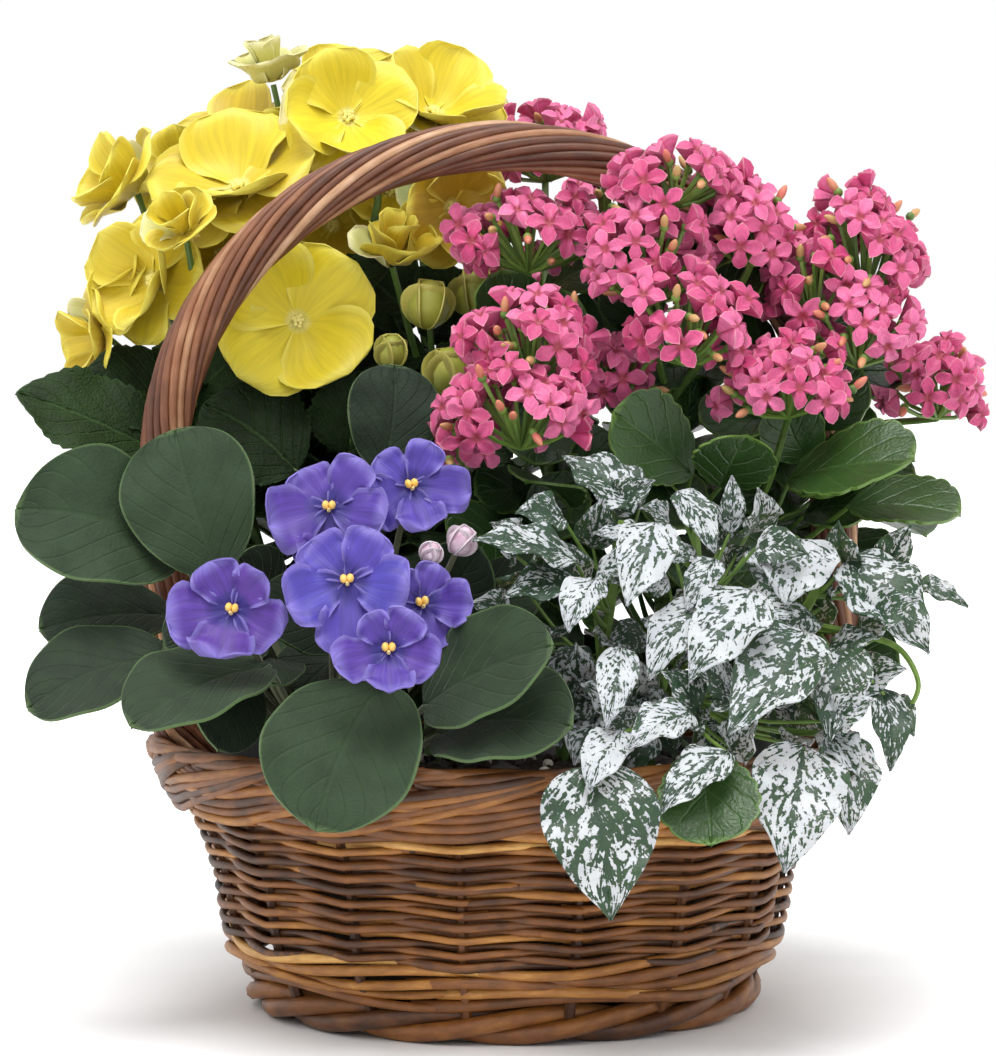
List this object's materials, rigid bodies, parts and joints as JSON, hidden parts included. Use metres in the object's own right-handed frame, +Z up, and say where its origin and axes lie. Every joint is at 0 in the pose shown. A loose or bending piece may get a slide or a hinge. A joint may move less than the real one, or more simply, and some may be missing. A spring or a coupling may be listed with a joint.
{
  "type": "flower basket arrangement",
  "caption": "Round woven willow basket with a roped bow handle, planted with yellow begonia, pink kalanchoe, African violet and a white and green polka-dot plant.",
  "frame": {"origin": "on the surface that the basket stands on, under the middle of its round base", "axes": "+Z up, +X to the right and +Y to the back as seen from the front, where the African violet and the polka-dot plant hang over the border"},
  "size_m": [0.3474, 0.2936, 0.3513],
  "materials": {
    "brown_willow": "unpeeled willow rods, satin",
    "buff_willow": "lighter twisted rods of the handle, satin",
    "liner_film": "black plastic liner film",
    "potting_mix": "moist peat potting mix",
    "begonia_green": "dark green begonia leaves and stems, satin",
    "begonia_yellow": "yellow begonia petals",
    "kalanchoe_green": "glossy scalloped kalanchoe leaves and stems",
    "kalanchoe_pink": "pink kalanchoe florets",
    "violet_green": "downy dark green violet leaves",
    "violet_blue": "blue violet petals",
    "splash_white": "white leaves splashed with dark green"
  },
  "bodies": {
    "root": {"basket_base": "brown_willow", "basket_border": "brown_willow", "basket_foot": "brown_willow", "basket_wall": "brown_willow", "begonia_bloom_back": "begonia_yellow", "begonia_bloom_back_left": "begonia_yellow", "begonia_bloom_back_right": "begonia_yellow", "begonia_bloom_far_right": "begonia_yellow", "begonia_bloom_front": "begonia_yellow", "begonia_bloom_half_open": "begonia_yellow", "begonia_bloom_inner": "begonia_yellow", "begonia_bloom_left": "begonia_yellow", "begonia_bloom_low_left": "begonia_yellow", "begonia_bloom_lowest": "begonia_yellow", "begonia_bloom_middle": "begonia_yellow", "begonia_bloom_shoulder": "begonia_yellow", "begonia_bloom_small": "begonia_yellow", "begonia_bloom_top": "begonia_yellow", "begonia_bloom_top_left": "begonia_yellow", "begonia_bloom_upper": "begonia_yellow", "begonia_bloom_upper_right": "begonia_yellow", "begonia_bloom_wide": "begonia_yellow", "begonia_stem_left": "begonia_green", "begonia_stem_middle": "begonia_green", "begonia_stem_right": "begonia_green", "handle_bow": "brown_willow", "handle_wrap": "buff_willow", "kalanchoe_head_back": "kalanchoe_pink", "kalanchoe_head_back_left": "kalanchoe_pink", "kalanchoe_head_back_low": "kalanchoe_pink", "kalanchoe_head_back_right": "kalanchoe_pink", "kalanchoe_head_back_top": "kalanchoe_pink", "kalanchoe_head_centre": "kalanchoe_pink", "kalanchoe_head_far_right": "kalanchoe_pink", "kalanchoe_head_inner": "kalanchoe_pink", "kalanchoe_head_left": "kalanchoe_pink", "kalanchoe_head_low": "kalanchoe_pink", "kalanchoe_head_low_left": "kalanchoe_pink", "kalanchoe_head_low_right": "kalanchoe_pink", "kalanchoe_head_right": "kalanchoe_pink", "kalanchoe_head_top": "kalanchoe_pink", "kalanchoe_head_upper_right": "kalanchoe_pink", "kalanchoe_stem_left": "kalanchoe_green", "kalanchoe_stem_middle": "kalanchoe_green", "kalanchoe_stem_right": "kalanchoe_green", "plastic_liner": "liner_film", "potting_mix": "potting_mix", "splash_stem_front": "splash_white", "splash_stem_left": "splash_white", "splash_stem_middle": "splash_white", "splash_stem_right": "splash_white", "violet_flower_inner_right": "violet_blue", "violet_flower_left": "violet_blue", "violet_flower_low": "violet_blue", "violet_flower_middle": "violet_blue", "violet_flower_right": "violet_blue", "violet_flower_top": "violet_blue", "violet_rosette": "violet_green"}
  },
  "joints": []
}
